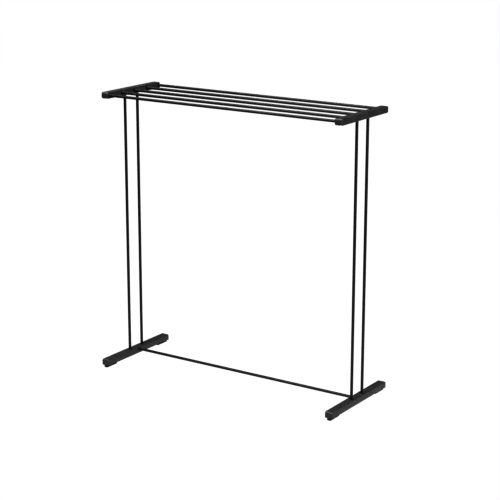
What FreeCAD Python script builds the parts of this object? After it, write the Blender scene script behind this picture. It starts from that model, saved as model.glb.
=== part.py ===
import FreeCAD, Part
import os

import Sketcher

# Free-standing drying rack: five hanging rails between two deck bars, two slim
# uprights under each deck bar, a foot bar under each pair, and one low stretcher.
# Origin: on the floor, under the middle of the rack. +X runs along the rails,
# +Y points to the rear and +Z points up. All lengths are in millimetres.

PARTS_FOLDER = "parts"

# The driving dimensions. Each one becomes an aliased cell of the sheet "sizes".
DRIVING_SIZES = {
    "side_spacing": 976.0,       # left to right, between the uprights' axes
    "upright_spacing": 73.2,     # front to rear, between the two uprights of a side
    "rail_pitch": 73.6,          # between neighbouring hanging rails
    "rail_height": 1023.1,       # rails' axis above the floor
    "stretcher_height": 23.05,   # stretcher's axis above the floor
    "tube_diameter": 9.5,        # rails, uprights and stretcher are one tube size
    "tube_wall": 0.8,
    "bar_width": 29.2,           # deck bars and foot bars, across X
    "bar_inset": 1.9,            # uprights stand this far outboard of a bar's middle
    "deck_length": 312.4,
    "deck_depth": 23.2,          # height of a deck bar
    "rail_drop": 10.75,          # from a deck bar's top to the rails' axes
    "deck_corner": 6.0,
    "deck_rim": 3.2,             # rounding of a deck bar's long edges and upright corners
    "foot_length": 377.0,
    "foot_depth": 22.0,          # height of a foot bar without its pads
    "foot_corner": 6.5,
    "foot_rim": 2.0,             # the same on a foot bar
    "wall": 2.4,                 # moulded wall
    "socket_depth": 14.0,
    "foot_socket_depth": 13.5,
    "socket_play": 0.1,          # radial play of a tube in its socket
    "socket_floor": 2.6,         # web that a screw clamps against a tube's end
    "block_width": 16.0,         # moulded block around a socket, along Y
    "cover_top": 2.2,            # deck cover: top plate and outer wall
    "cover_end": 1.6,            # deck cover: end walls
    "cover_gap": 0.2,            # joint line between a deck cover and its carrier
    "snap_width": 10.0,
    "snap_reach": 1.4,
    "snap_rise": 0.4,            # from the underside to the lower face of a snap bead
    "snap_depth": 1.1,           # and to its upper face
    "notch_width": 9.0,          # prising notch under both ends of a deck bar
    "notch_depth": 5.0,
    "notch_offset": 6.5,         # outboard at one end of the bar, inboard at the other
    "notch_run": 15.0,
    "rib": 2.0,
    "pad_length": 60.0,
    "pad_width": 15.0,
    "pad_thickness": 8.5,
    "pad_corner": 4.0,
    "pad_inset": 1.5,            # from the end of the foot bar to the pad
    "seat_margin": 4.0,          # solid moulding inboard of a pad
    "stem_radius": 4.0,
    "stem_length": 8.0,
    "stem_room": 1.0,            # left empty above a stem
    "stem_spacing": 28.0,
    "groove": 2.0,               # tread grooves under a pad
    "groove_depth": 0.8,
    "screw_radius": 2.0,
    "screw_length": 10.0,
    "screw_play": 0.2,
    "head_radius": 3.8,
    "head_depth": 2.3,
    "head_play": 0.2,            # radial play of a head in its recess
    "hex_radius": 1.45,          # corner radius of the screw's hexagon socket
    "hex_depth": 1.3,
    "insert_length": 12.0,       # threaded insert pressed into a tube's end
    "press_play": 0.05,
    "collar_radius": 6.8,        # low collar where the stretcher enters a foot bar
    "collar_proud": 1.5,
    "cross_seat": 5.0,           # depth of the recess for the stretcher's screw
    "cross_screw_inset": 8.0,    # stretcher's screw, from the foot bar's inner face
}

RAILS = 5
BAYS = 3                               # open bays of a foot bar between upright and pad
TREAD_GROOVES = 5                      # under each pad
HALVES = (-1, 1)                       # front and rear, or left and right
SIDE_NAMES = {-1: "left", 1: "right"}
END_NAMES = {-1: "front", 1: "rear"}
CUT_MARGIN = 1.0                       # how far a cut runs past the face that it opens
OVERLAP = 0.1                          # how far one bore runs into the next
SNAP_PLACES = (-1.5, -0.75, 0.75, 1.5)  # the cover's snap beads, in rail pitches from the middle
TIP_SHARE = 0.7                        # a screw's tip, as a share of its radius
DOME_SHARE = 0.7                       # rounding of a screw's head, as a share of its depth
HEX_SLANT = 3 ** 0.5 / 2               # height of a hexagon's upper corner, as a share of its radius


class Size:
    """A length with its value now and the sheet expression that drives it."""

    def __init__(self, value, text):
        self.value = float(value)
        self.text = text

    def _combine(self, other, sign, value):
        return Size(value, "(%s %s %s)" % (self.text, sign, other.text))

    def __add__(self, other):
        other = as_size(other)
        return self._combine(other, "+", self.value + other.value)

    def __sub__(self, other):
        other = as_size(other)
        return self._combine(other, "-", self.value - other.value)

    def __mul__(self, other):
        other = as_size(other)
        return self._combine(other, "*", self.value * other.value)

    def __truediv__(self, other):
        other = as_size(other)
        return self._combine(other, "/", self.value / other.value)

    def __neg__(self):
        return self * -1

    __rmul__ = __mul__


def as_size(number):
    """Return the number as a Size, unless it is one already."""
    return number if isinstance(number, Size) else Size(number, "(%.6g)" % number)


def make_sheet(doc):
    """Fill the sheet and return its cells as Sizes, by alias."""
    sheet = doc.addObject("Spreadsheet::Sheet", "sizes")
    cells = {}
    for row, (alias, value) in enumerate(DRIVING_SIZES.items(), start=1):
        sheet.set("A%d" % row, alias)
        sheet.set("B%d" % row, "%g" % value)
        sheet.setAlias("B%d" % row, alias)
        cells[alias] = Size(value, "sizes." + alias)
    doc.recompute()
    return cells


# --- Sketches and features ------------------------------------------------------

class Plane:
    """One origin plane of a body and the way its sketches face."""

    def __init__(self, role, facing):
        self.role = role
        self.facing = facing           # +1 if the sketch looks along +axis, -1 if along -axis


ACROSS_X = Plane("YZ_Plane", 1)        # sketch axes Y, Z
ACROSS_Y = Plane("XZ_Plane", -1)       # sketch axes X, Z
ACROSS_Z = Plane("XY_Plane", 1)        # sketch axes X, Y


def start_sketch(body, name, plane, level):
    """Attach a new sketch to the body's origin plane, moved to the level on its axis."""
    sketch = body.newObject("Sketcher::SketchObject", name + "_sketch")
    roles = {feature.Role: feature for feature in body.Origin.OriginFeatures}
    sketch.AttachmentSupport = [(roles[plane.role], "")]
    sketch.MapMode = "FlatFace"
    sketch.setExpression("AttachmentOffset.Base.z", (level * plane.facing).text)
    return sketch


def bind_last(sketch, name, size):
    """Name the sketch's last constraint and bind it to the size."""
    sketch.renameConstraint(sketch.ConstraintCount - 1, name)
    sketch.setExpression("Constraints." + name, size.text)


def pin_point(sketch, geometry, point, x, y):
    """Hold one point of the geometry at x, y from the sketch's origin."""
    for axis, kind, size in ((-2, "DistanceX", x), (-1, "DistanceY", y)):
        if abs(size.value) < 1e-9:
            sketch.addConstraint(Sketcher.Constraint("PointOnObject", geometry, point, axis))
            continue
        sketch.addConstraint(Sketcher.Constraint(kind, -1, 1, geometry, point, size.value))
        bind_last(sketch, "%s_%d" % (kind, geometry), size)


def draw_outline(sketch, corners):
    """Draw a closed outline of straight lines through the corners, all of them pinned."""
    corners = [(as_size(x), as_size(y)) for x, y in corners]
    points = [FreeCAD.Vector(x.value, y.value, 0) for x, y in corners]
    first = sketch.GeometryCount
    for start, end in zip(points, points[1:] + points[:1]):
        sketch.addGeometry(Part.LineSegment(start, end), False)
    for index, (x, y) in enumerate(corners):
        before = first + (index - 1) % len(corners)
        sketch.addConstraint(Sketcher.Constraint("Coincident", before, 2, first + index, 1))
        pin_point(sketch, first + index, 1, x, y)


def draw_rectangle(sketch, x_low, x_high, y_low, y_high):
    """Draw a rectangle between the given limits."""
    draw_outline(sketch, [(x_low, y_low), (x_high, y_low), (x_high, y_high), (x_low, y_high)])


def draw_circle(sketch, x, y, radius):
    """Draw a circle with its centre at x, y."""
    x, y = as_size(x), as_size(y)
    centre = FreeCAD.Vector(x.value, y.value, 0)
    circle = Part.Circle(centre, FreeCAD.Vector(0, 0, 1), radius.value)
    geometry = sketch.addGeometry(circle, False)
    pin_point(sketch, geometry, 3, x, y)
    sketch.addConstraint(Sketcher.Constraint("Radius", geometry, radius.value))
    bind_last(sketch, "Radius_%d" % geometry, radius)


def extrude(body, name, plane, low, high, draw, cut=False):
    """Pad, or pocket, what draw(sketch) draws, from low to high on the plane's axis."""
    low, high = as_size(low), as_size(high)
    sketch = start_sketch(body, name, plane, low)
    draw(sketch)
    feature = body.newObject("PartDesign::Pocket" if cut else "PartDesign::Pad", name)
    feature.Profile = sketch
    feature.setExpression("Length", (high - low).text)
    along_normal = plane.facing > 0
    feature.Reversed = along_normal if cut else not along_normal
    return feature


def round_edges(body, name, radius, wanted):
    """Fillet the edges of the body's latest feature that wanted(edge) accepts."""
    body.Document.recompute()
    base = body.Tip
    edges = ["Edge%d" % number for number, edge in enumerate(base.Shape.Edges, start=1)
             if wanted(edge)]
    fillet = body.newObject("PartDesign::Fillet", name)
    fillet.Base = (base, edges)
    fillet.setExpression("Radius", radius.text)
    return fillet


def near(value, size):
    """Tell whether the value equals the size's own value."""
    return abs(value - size.value) < 1e-4


def place(item, x, y, z, rotation=None):
    """Put the item at x, y, z, bound to the sheet, with a fixed rotation."""
    item.Placement = FreeCAD.Placement(FreeCAD.Vector(), rotation or FreeCAD.Rotation())
    for axis, size in (("x", x), ("y", y), ("z", z)):
        item.setExpression("Placement.Base." + axis, as_size(size).text)


def turn(axis, degrees):
    """Return a rotation about the X, Y or Z axis."""
    vectors = {"X": FreeCAD.Vector(1, 0, 0), "Y": FreeCAD.Vector(0, 1, 0),
               "Z": FreeCAD.Vector(0, 0, 1)}
    return FreeCAD.Rotation(vectors[axis], degrees)


def turn_for_side(side):
    """Left-hand bars are the right-hand mouldings turned half round."""
    return turn("Z", 0 if side > 0 else 180)


# --- The rack ----------------------------------------------------------------------

class Rack:
    """Builds every sub-part of the rack in one document."""

    def __init__(self, doc):
        self.doc = doc
        self.size = make_sheet(doc)
        self.nodes = []
        s = self.size
        self.half_bar = s["bar_width"] / 2
        self.tube_radius = s["tube_diameter"] / 2
        self.bore_radius = self.tube_radius - s["tube_wall"]
        self.socket_radius = self.tube_radius + s["socket_play"]
        self.hole_radius = s["screw_radius"] + s["screw_play"]
        # Where the bars stand, and where the tubes end inside their sockets.
        self.bar_x = s["side_spacing"] / 2 - s["bar_inset"]
        self.deck_z = s["rail_height"] + s["rail_drop"] - s["deck_depth"]
        self.foot_z = s["pad_thickness"]
        self.tube_end_x = self.bar_x - self.half_bar + s["socket_depth"]
        self.foot_socket_floor = s["foot_depth"] - s["foot_socket_depth"]
        self.pad_middle = s["foot_length"] / 2 - s["pad_inset"] - s["pad_length"] / 2
        self.upright_low = self.foot_z + self.foot_socket_floor
        self.upright_high = self.deck_z + s["socket_depth"]
        self.screw = self.make_screw()
        self.insert = self.make_insert()

    # Places along Y ------------------------------------------------------------

    def rail_places(self):
        """Return the rails' Y places, front to rear."""
        middle = (RAILS - 1) / 2
        return [self.size["rail_pitch"] * (index - middle) for index in range(RAILS)]

    def upright_places(self):
        """Return the uprights' Y places, front and rear."""
        return [self.size["upright_spacing"] / 2 * half for half in HALVES]

    # Helpers ---------------------------------------------------------------------

    def body(self, label, keep=True):
        """Start a body and, if it is a sub-part of its own, keep it for the export."""
        body = self.doc.addObject("PartDesign::Body", label)
        body.Label = label
        if keep:
            self.nodes.append(body)
        return body

    def group(self, label, pattern, places):
        """Make one sub-part of separate copies of the pattern at the places."""
        links = []
        for number, (x, y, z, rotation) in enumerate(places, start=1):
            link = self.doc.addObject("App::Link", "%s_copy_%d" % (label, number))
            link.LinkedObject = pattern
            place(link, x, y, z, rotation)
            links.append(link)
        compound = self.doc.addObject("Part::Compound", label)
        compound.Label = label
        compound.Links = links
        self.nodes.append(compound)

    def bar_blank(self, body, length, depth, corner, rim, round_underside):
        """Pad a bar with rounded ends and rounded long edges, its underside at z = 0."""
        half = self.half_bar
        extrude(body, "blank", ACROSS_X, -half, half,
                lambda sketch: draw_rectangle(sketch, -length / 2, length / 2, as_size(0), depth))

        def is_corner(edge):
            box = edge.BoundBox
            across = near(box.XLength, self.size["bar_width"])
            return across and (round_underside or near(box.ZMin, depth))

        def is_rim(edge):
            box = edge.BoundBox
            in_side_face = box.XLength < 1e-4
            return in_side_face and (round_underside or box.ZMax > 1e-4)

        round_edges(body, "rounded_ends", corner, is_corner)
        round_edges(body, "rounded_rims", rim, is_rim)

    # Tubes -----------------------------------------------------------------------

    def tube(self, label, plane, low, high):
        """Make one straight steel tube along the plane's axis."""
        body = self.body(label)

        def ring(sketch):
            draw_circle(sketch, 0, 0, self.tube_radius)
            draw_circle(sketch, 0, 0, self.bore_radius)

        extrude(body, "tube", plane, low, high, ring)
        return body

    def make_rails(self):
        """Five hanging rails, numbered from the front."""
        for number, y in enumerate(self.rail_places(), start=1):
            rail = self.tube("hanging_rail_%d" % number, ACROSS_X, -self.tube_end_x, self.tube_end_x)
            place(rail, 0, y, self.size["rail_height"])

    def make_stretcher(self):
        """The low tube between the foot bars, with a screw hole under each end."""
        s = self.size
        stretcher = self.tube("stretcher", ACROSS_X, -self.tube_end_x, self.tube_end_x)
        hole_x = self.cross_screw_x()

        def holes(sketch):
            for side in HALVES:
                draw_circle(sketch, hole_x * side, 0, self.hole_radius)

        extrude(stretcher, "screw_holes", ACROSS_Z, -self.tube_radius - CUT_MARGIN, 0, holes, cut=True)
        place(stretcher, 0, 0, s["stretcher_height"])

    def cross_screw_x(self):
        """Return how far from the middle the stretcher's screws stand."""
        return self.bar_x - self.half_bar + self.size["cross_screw_inset"]

    def make_uprights(self):
        """Two uprights on each side, from the foot bar's sockets to the deck bar's."""
        for side in HALVES:
            for half, y in zip(HALVES, self.upright_places()):
                label = "upright_%s_%s" % (SIDE_NAMES[side], END_NAMES[half])
                upright = self.tube(label, ACROSS_Z, 0, self.upright_high - self.upright_low)
                place(upright, self.size["side_spacing"] / 2 * side, y, self.upright_low)

    # Foot bars and pads ------------------------------------------------------------

    def make_foot_bar(self, side):
        """Moulded foot bar, open below between its ribs and socket blocks."""
        s = self.size
        half = self.half_bar
        body = self.body("foot_bar_" + SIDE_NAMES[side])
        self.bar_blank(body, s["foot_length"], s["foot_depth"], s["foot_corner"], s["foot_rim"], False)
        block = s["block_width"] / 2
        upright_y = s["upright_spacing"] / 2
        roof = s["foot_depth"] - s["wall"]
        stretcher_z = s["stretcher_height"] - self.foot_z
        pad_middle = self.pad_middle
        seat_start = pad_middle - s["pad_length"] / 2 - s["seat_margin"]
        bay_start = upright_y + block
        bay = (seat_start - bay_start - s["rib"] * (BAYS - 1)) / BAYS

        def bays(sketch):
            inner = half - s["wall"]
            spans = [(block, upright_y - block)]
            spans += [(bay_start + (bay + s["rib"]) * n, bay_start + (bay + s["rib"]) * n + bay)
                      for n in range(BAYS)]
            for near_end, far_end in spans:
                draw_rectangle(sketch, -inner, inner, near_end, far_end)
                draw_rectangle(sketch, -inner, inner, -far_end, -near_end)

        def coring(sketch):
            reach = s["pad_width"] / 2 - s["wall"]
            stem = s["stem_spacing"] / 2 - s["stem_radius"] - s["rib"]
            for end in HALVES:
                draw_rectangle(sketch, -reach, reach, pad_middle * end - stem, pad_middle * end + stem)

        def stem_bores(sketch):
            for end in HALVES:
                for stem in HALVES:
                    draw_circle(sketch, 0, pad_middle * end + s["stem_spacing"] / 2 * stem,
                                s["stem_radius"] + s["socket_play"])

        def at_uprights(radius):
            return lambda sketch: [draw_circle(sketch, s["bar_inset"], y, radius)
                                   for y in self.upright_places()]

        def at_stretcher(radius):
            return lambda sketch: draw_circle(sketch, 0, stretcher_z, radius)

        cross_screw = -half + s["cross_screw_inset"]

        def at_cross_screw(radius):
            return lambda sketch: draw_circle(sketch, cross_screw, 0, radius)

        head_room = s["head_radius"] + s["head_play"]
        floor = self.foot_socket_floor
        head_seat = floor - s["socket_floor"]
        below = as_size(-CUT_MARGIN)
        extrude(body, "bays", ACROSS_Z, below, roof, bays, cut=True)
        extrude(body, "coring", ACROSS_Z, below, roof, coring, cut=True)
        extrude(body, "stem_bores", ACROSS_Z, below, s["stem_length"] + s["stem_room"], stem_bores,
                cut=True)
        extrude(body, "collar", ACROSS_X, -half - s["collar_proud"], -half + s["wall"],
                at_stretcher(s["collar_radius"]))
        extrude(body, "upright_sockets", ACROSS_Z, floor, s["foot_depth"] + CUT_MARGIN,
                at_uprights(self.socket_radius), cut=True)
        extrude(body, "upright_screw_holes", ACROSS_Z, below, floor + OVERLAP,
                at_uprights(self.hole_radius), cut=True)
        extrude(body, "upright_head_recesses", ACROSS_Z, below, head_seat,
                at_uprights(head_room), cut=True)
        extrude(body, "stretcher_socket", ACROSS_X, -half - s["collar_proud"] - CUT_MARGIN,
                -half + s["socket_depth"], at_stretcher(self.socket_radius), cut=True)
        extrude(body, "cross_screw_hole", ACROSS_Z, below, stretcher_z,
                at_cross_screw(self.hole_radius), cut=True)
        extrude(body, "cross_head_recess", ACROSS_Z, below, s["cross_seat"],
                at_cross_screw(head_room), cut=True)
        place(body, self.bar_x * side, 0, self.foot_z, turn_for_side(side))

    def make_foot_pads(self, side):
        """Soft pads under both ends of a foot bar, each held by two stems."""
        s = self.size
        for end in HALVES:
            body = self.body("foot_pad_%s_%s" % (SIDE_NAMES[side], END_NAMES[end]))
            half_width, half_length = s["pad_width"] / 2, s["pad_length"] / 2
            extrude(body, "pad", ACROSS_Z, 0, s["pad_thickness"],
                    lambda sketch: draw_rectangle(sketch, -half_width, half_width,
                                                  -half_length, half_length))
            round_edges(body, "rounded_corners", s["pad_corner"],
                        lambda edge: near(edge.BoundBox.ZLength, s["pad_thickness"]))
            round_edges(body, "rounded_tread", s["groove_depth"],
                        lambda edge: edge.BoundBox.ZMax < 1e-4)

            def stems(sketch):
                for stem in HALVES:
                    draw_circle(sketch, 0, s["stem_spacing"] / 2 * stem, s["stem_radius"])

            def grooves(sketch):
                for number in range(1, TREAD_GROOVES + 1):
                    middle = s["pad_length"] * (number / (TREAD_GROOVES + 1) - 0.5)
                    draw_rectangle(sketch, -half_width - CUT_MARGIN, half_width + CUT_MARGIN,
                                   middle - s["groove"] / 2, middle + s["groove"] / 2)

            extrude(body, "stems", ACROSS_Z, s["pad_thickness"], s["pad_thickness"] + s["stem_length"],
                    stems)
            extrude(body, "grooves", ACROSS_Z, -CUT_MARGIN, s["groove_depth"], grooves, cut=True)
            place(body, self.bar_x * side, self.pad_middle * end, 0)

    # Deck bars ---------------------------------------------------------------------

    def notches(self, body):
        """Cut the prising notches under both ends, one outboard and one inboard of the middle."""
        s = self.size

        def draw(sketch):
            reach = s["deck_length"] / 2
            for end in HALVES:
                ends = sorted([(reach + CUT_MARGIN) * end, (reach - s["notch_run"]) * end],
                              key=lambda size: size.value)
                middle = s["notch_offset"] * -end
                draw_rectangle(sketch, middle - s["notch_width"] / 2, middle + s["notch_width"] / 2, *ends)

        extrude(body, "prising_notches", ACROSS_Z, -CUT_MARGIN, s["notch_depth"], draw, cut=True)

    def snap_places(self):
        """Return the Y places of the cover's snap beads."""
        return [self.size["rail_pitch"] * share for share in SNAP_PLACES]

    def make_deck_carrier(self, side):
        """Moulded tray with the rails' and uprights' sockets, open above and outboard."""
        s = self.size
        half = self.half_bar
        length, depth = s["deck_length"], s["deck_depth"]
        body = self.body("deck_carrier_" + SIDE_NAMES[side])
        self.bar_blank(body, length, depth, s["deck_corner"], s["deck_rim"], True)
        top = depth - s["cover_top"] - s["cover_gap"]
        outer = half - s["cover_top"] - s["cover_gap"]
        end = length / 2 - s["cover_end"] - s["cover_gap"]
        block = s["block_width"] / 2
        floor_x = -half + s["socket_depth"]
        web_x = floor_x + s["socket_floor"]
        web_z = s["socket_depth"] + s["socket_floor"]
        above, outboard = depth + CUT_MARGIN, half + CUT_MARGIN
        rails = self.rail_places()
        block_spans = [(y - block, y + block) for y in rails[1:-1] + self.upright_places()]
        block_spans = sorted(block_spans, key=lambda span: span[0].value)
        inner_limits = [rails[0] + block] + [y for span in block_spans for y in span] + [rails[-1] - block]

        def cover_seat(sketch):
            inboard, below = -half - CUT_MARGIN, as_size(-CUT_MARGIN)
            draw_outline(sketch, [(inboard, top), (outer, top), (outer, below),
                                  (outboard, below), (outboard, above), (inboard, above)])

        def end_seats(sketch):
            for low, high in ((-length / 2 - CUT_MARGIN, -end), (end, length / 2 + CUT_MARGIN)):
                draw_rectangle(sketch, low, high, as_size(-CUT_MARGIN), above)

        def tray(sketch):
            for low, high in zip(inner_limits[0::2], inner_limits[1::2]):
                draw_rectangle(sketch, -half + s["wall"], outboard, low, high)

        def rail_head_room(sketch):
            end_wall = end - s["wall"]
            spans = [(-end_wall, rails[0] + block)]
            spans += [(y - block, y + block) for y in rails[1:-1]]
            spans += [(rails[-1] - block, end_wall)]
            for low, high in spans:
                draw_rectangle(sketch, web_x, outboard, low, high)

        def upright_head_room(sketch):
            for y in self.upright_places():
                draw_rectangle(sketch, -half + s["wall"], outboard, y - block, y + block)

        def at_rails(radius):
            return lambda sketch: [draw_circle(sketch, y, depth - s["rail_drop"], radius) for y in rails]

        def at_uprights(radius):
            return lambda sketch: [draw_circle(sketch, s["bar_inset"], y, radius)
                                   for y in self.upright_places()]

        def snap_seats(sketch):
            for y in self.snap_places():
                reach = s["snap_width"] / 2 + s["cover_gap"]
                draw_rectangle(sketch, outer - s["snap_reach"], outboard, y - reach, y + reach)

        extrude(body, "cover_seat", ACROSS_Y, -length / 2 - CUT_MARGIN, length / 2 + CUT_MARGIN,
                cover_seat, cut=True)
        extrude(body, "end_seats", ACROSS_X, -outboard, outboard, end_seats, cut=True)
        extrude(body, "tray", ACROSS_Z, s["wall"], above, tray, cut=True)
        extrude(body, "rail_head_room", ACROSS_Z, s["wall"], above, rail_head_room, cut=True)
        extrude(body, "upright_head_room", ACROSS_Z, web_z, above, upright_head_room, cut=True)
        extrude(body, "rail_sockets", ACROSS_X, -half - CUT_MARGIN, floor_x,
                at_rails(self.socket_radius), cut=True)
        extrude(body, "rail_screw_holes", ACROSS_X, floor_x - OVERLAP, web_x + OVERLAP,
                at_rails(self.hole_radius), cut=True)
        extrude(body, "upright_sockets", ACROSS_Z, -CUT_MARGIN, s["socket_depth"],
                at_uprights(self.socket_radius), cut=True)
        extrude(body, "upright_screw_holes", ACROSS_Z, s["socket_depth"] - OVERLAP, web_z + OVERLAP,
                at_uprights(self.hole_radius), cut=True)
        extrude(body, "snap_seats", ACROSS_Z, -CUT_MARGIN, s["snap_depth"] + s["cover_gap"],
                snap_seats, cut=True)
        self.notches(body)
        place(body, self.bar_x * side, 0, self.deck_z, turn_for_side(side))

    def make_deck_cover(self, side):
        """Snap-on cover: top plate, outer wall and both ends of a deck bar."""
        s = self.size
        half = self.half_bar
        length, depth = s["deck_length"], s["deck_depth"]
        body = self.body("deck_cover_" + SIDE_NAMES[side])
        self.bar_blank(body, length, depth, s["deck_corner"], s["deck_rim"], True)
        wall_x = half - s["cover_top"]
        end = length / 2 - s["cover_end"]

        def inside(sketch):
            draw_rectangle(sketch, -half - CUT_MARGIN, wall_x,
                           as_size(-CUT_MARGIN), depth - s["cover_top"])

        def beads(sketch):
            for y in self.snap_places():
                reach = s["snap_width"] / 2
                draw_rectangle(sketch, wall_x - s["snap_reach"], wall_x + s["cover_gap"],
                               y - reach, y + reach)

        extrude(body, "inside", ACROSS_Y, -end, end, inside, cut=True)
        extrude(body, "snap_beads", ACROSS_Z, s["snap_rise"], s["snap_depth"], beads)
        self.notches(body)
        place(body, self.bar_x * side, 0, self.deck_z, turn_for_side(side))

    # Fasteners -----------------------------------------------------------------------

    def make_screw(self):
        """Button-head socket screw: shank down -Z, head above z = 0."""
        s = self.size
        body = self.body("screw_pattern", keep=False)
        sketch = start_sketch(body, "profile", ACROSS_Y, as_size(0))
        tip = s["screw_radius"] * TIP_SHARE
        tip_height = tip / 2
        zero = as_size(0)
        draw_outline(sketch, [(zero, -s["screw_length"]), (tip, -s["screw_length"]),
                              (s["screw_radius"], -s["screw_length"] + tip_height),
                              (s["screw_radius"], zero), (s["head_radius"], zero),
                              (s["head_radius"], s["head_depth"]), (zero, s["head_depth"])])
        turned = body.newObject("PartDesign::Revolution", "turned")
        turned.Profile = sketch
        turned.ReferenceAxis = (sketch, ["V_Axis"])
        turned.Angle = 360
        round_edges(body, "domed_head", s["head_depth"] * DOME_SHARE,
                    lambda edge: near(edge.BoundBox.ZMin, s["head_depth"])
                    and near(edge.BoundBox.XMax, s["head_radius"]))

        def hexagon(sketch):
            corner = s["hex_radius"]
            slant = corner * HEX_SLANT
            draw_outline(sketch, [(corner, zero), (corner / 2, slant), (-corner / 2, slant),
                                  (-corner, zero), (-corner / 2, -slant), (corner / 2, -slant)])

        extrude(body, "hex_socket", ACROSS_Z, s["head_depth"] - s["hex_depth"],
                s["head_depth"] + CUT_MARGIN, hexagon, cut=True)
        return body

    def make_insert(self):
        """Threaded insert for a tube's end, from z = 0 up, with a plain bore."""
        s = self.size
        body = self.body("insert_pattern", keep=False)

        def ring(sketch):
            draw_circle(sketch, 0, 0, self.bore_radius - s["press_play"])
            draw_circle(sketch, 0, 0, s["screw_radius"] + s["press_play"])

        extrude(body, "insert", ACROSS_Z, 0, s["insert_length"], ring)
        return body

    def make_stretcher_plug(self, side):
        """Solid plug in the stretcher's end, bored across for its screw."""
        s = self.size
        body = self.body("stretcher_plug_" + SIDE_NAMES[side])
        extrude(body, "plug", ACROSS_X, -s["insert_length"], 0,
                lambda sketch: draw_circle(sketch, 0, 0, self.bore_radius - s["press_play"]))
        hole_x = -s["socket_depth"] + s["cross_screw_inset"]
        extrude(body, "cross_bore", ACROSS_Z, -self.tube_radius, self.tube_radius,
                lambda sketch: draw_circle(sketch, hole_x, 0, s["screw_radius"] + s["press_play"]),
                cut=True)
        place(body, self.tube_end_x * side, 0, s["stretcher_height"], turn_for_side(side))

    def make_fasteners(self, side):
        """Screws and inserts of one side, identical ones grouped by where they work."""
        s = self.size
        name = SIDE_NAMES[side]
        upright_x = s["side_spacing"] / 2 * side
        outward, inward = turn("Y", 90 * side), turn("Y", -90 * side)
        foot_screw_z = self.upright_low - s["socket_floor"]
        deck_screw_z = self.upright_high + s["socket_floor"]
        rail_screw_x = (self.tube_end_x + s["socket_floor"]) * side
        uprights, rails = self.upright_places(), self.rail_places()
        self.group("upright_foot_screws_" + name, self.screw,
                   [(upright_x, y, foot_screw_z, turn("X", 180)) for y in uprights])
        self.group("upright_deck_screws_" + name, self.screw,
                   [(upright_x, y, deck_screw_z, None) for y in uprights])
        self.group("rail_screws_" + name, self.screw,
                   [(rail_screw_x, y, s["rail_height"], outward) for y in rails])
        self.group("stretcher_screw_" + name, self.screw,
                   [(self.cross_screw_x() * side, 0, self.foot_z + s["cross_seat"], turn("X", 180))])
        self.group("upright_inserts_" + name, self.insert,
                   [(upright_x, y, z, None) for y in uprights
                    for z in (self.upright_low, self.upright_high - s["insert_length"])])
        self.group("rail_inserts_" + name, self.insert,
                   [(self.tube_end_x * side, y, s["rail_height"], inward) for y in rails])

    def build(self):
        """Make every sub-part."""
        for side in HALVES:
            self.make_foot_bar(side)
            self.make_foot_pads(side)
            self.make_deck_carrier(side)
            self.make_deck_cover(side)
            self.make_stretcher_plug(side)
            self.make_fasteners(side)
        self.make_uprights()
        self.make_rails()
        self.make_stretcher()


# --- Checks and export --------------------------------------------------------------

def check_document(doc, nodes):
    """Stop if anything failed to compute, if a cut removed nothing or a shape is bad."""
    faults = ["%s is %s" % (item.Name, item.State) for item in doc.Objects
              if "Invalid" in item.State or "Error" in item.State]
    for item in doc.Objects:
        if item.TypeId == "PartDesign::Pocket":
            removed = item.BaseFeature.Shape.Volume - item.Shape.Volume
            if removed < 0.1:
                faults.append("%s cuts nothing" % item.Name)
    for node in nodes:
        if node.Shape.isNull() or not node.Shape.isValid() or not node.Shape.Solids:
            faults.append("%s has no valid solid" % node.Label)
    if faults:
        raise RuntimeError("; ".join(faults))


def write_parts(nodes):
    """Write one STEP file for each sub-part."""
    os.makedirs(PARTS_FOLDER, exist_ok=True)
    for node in nodes:
        node.Shape.exportStep(os.path.join(PARTS_FOLDER, node.Label + ".step"))
        box = node.Shape.BoundBox
        print("%-26s %2d solid(s) %10.1f mm3  x %8.2f %8.2f  y %8.2f %8.2f  z %8.2f %8.2f"
              % (node.Label, len(node.Shape.Solids), node.Shape.Volume,
                 box.XMin, box.XMax, box.YMin, box.YMax, box.ZMin, box.ZMax))


def main():
    """Build the rack, check it and write its parts."""
    doc = FreeCAD.newDocument("drying_rack")
    rack = Rack(doc)
    rack.build()
    doc.recompute()
    check_document(doc, rack.nodes)
    write_parts(rack.nodes)


main()
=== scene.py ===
"""Looks of a free-standing drying rack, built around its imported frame.

Tubes, bars and pads are surfaces worked out as whole arrays and cut to shape where a
socket or recess opens them. The hidden fasteners are the frame's own nodes. Lengths are
metres in the frame's own axes: +X along the hanging rails, +Y to the rear, +Z up, with
the floor at z = 0.
"""

import logging
import math
from dataclasses import dataclass, replace
from enum import Enum

import bpy
import numpy as np
from mathutils import Matrix, Vector
from numpy.typing import NDArray


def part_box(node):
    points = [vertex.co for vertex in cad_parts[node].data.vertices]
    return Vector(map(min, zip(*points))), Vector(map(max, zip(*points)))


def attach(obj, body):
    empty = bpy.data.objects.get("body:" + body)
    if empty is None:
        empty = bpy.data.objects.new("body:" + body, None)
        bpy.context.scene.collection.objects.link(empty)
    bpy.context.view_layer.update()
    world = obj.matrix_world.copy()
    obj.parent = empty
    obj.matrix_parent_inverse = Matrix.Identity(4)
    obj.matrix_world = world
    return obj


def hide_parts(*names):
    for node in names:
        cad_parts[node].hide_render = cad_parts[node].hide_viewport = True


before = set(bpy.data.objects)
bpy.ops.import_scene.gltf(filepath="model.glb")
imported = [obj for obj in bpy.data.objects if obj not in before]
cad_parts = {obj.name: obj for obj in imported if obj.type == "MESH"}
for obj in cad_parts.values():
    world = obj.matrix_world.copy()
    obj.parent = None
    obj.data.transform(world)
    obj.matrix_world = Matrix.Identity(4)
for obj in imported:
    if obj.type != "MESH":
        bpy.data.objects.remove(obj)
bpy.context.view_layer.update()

Floats = NDArray[np.float64]
Ints = NDArray[np.int64]
Colour = tuple[float, float, float]
Pair = tuple[float, float]
Point = tuple[float, float, float]
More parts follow.
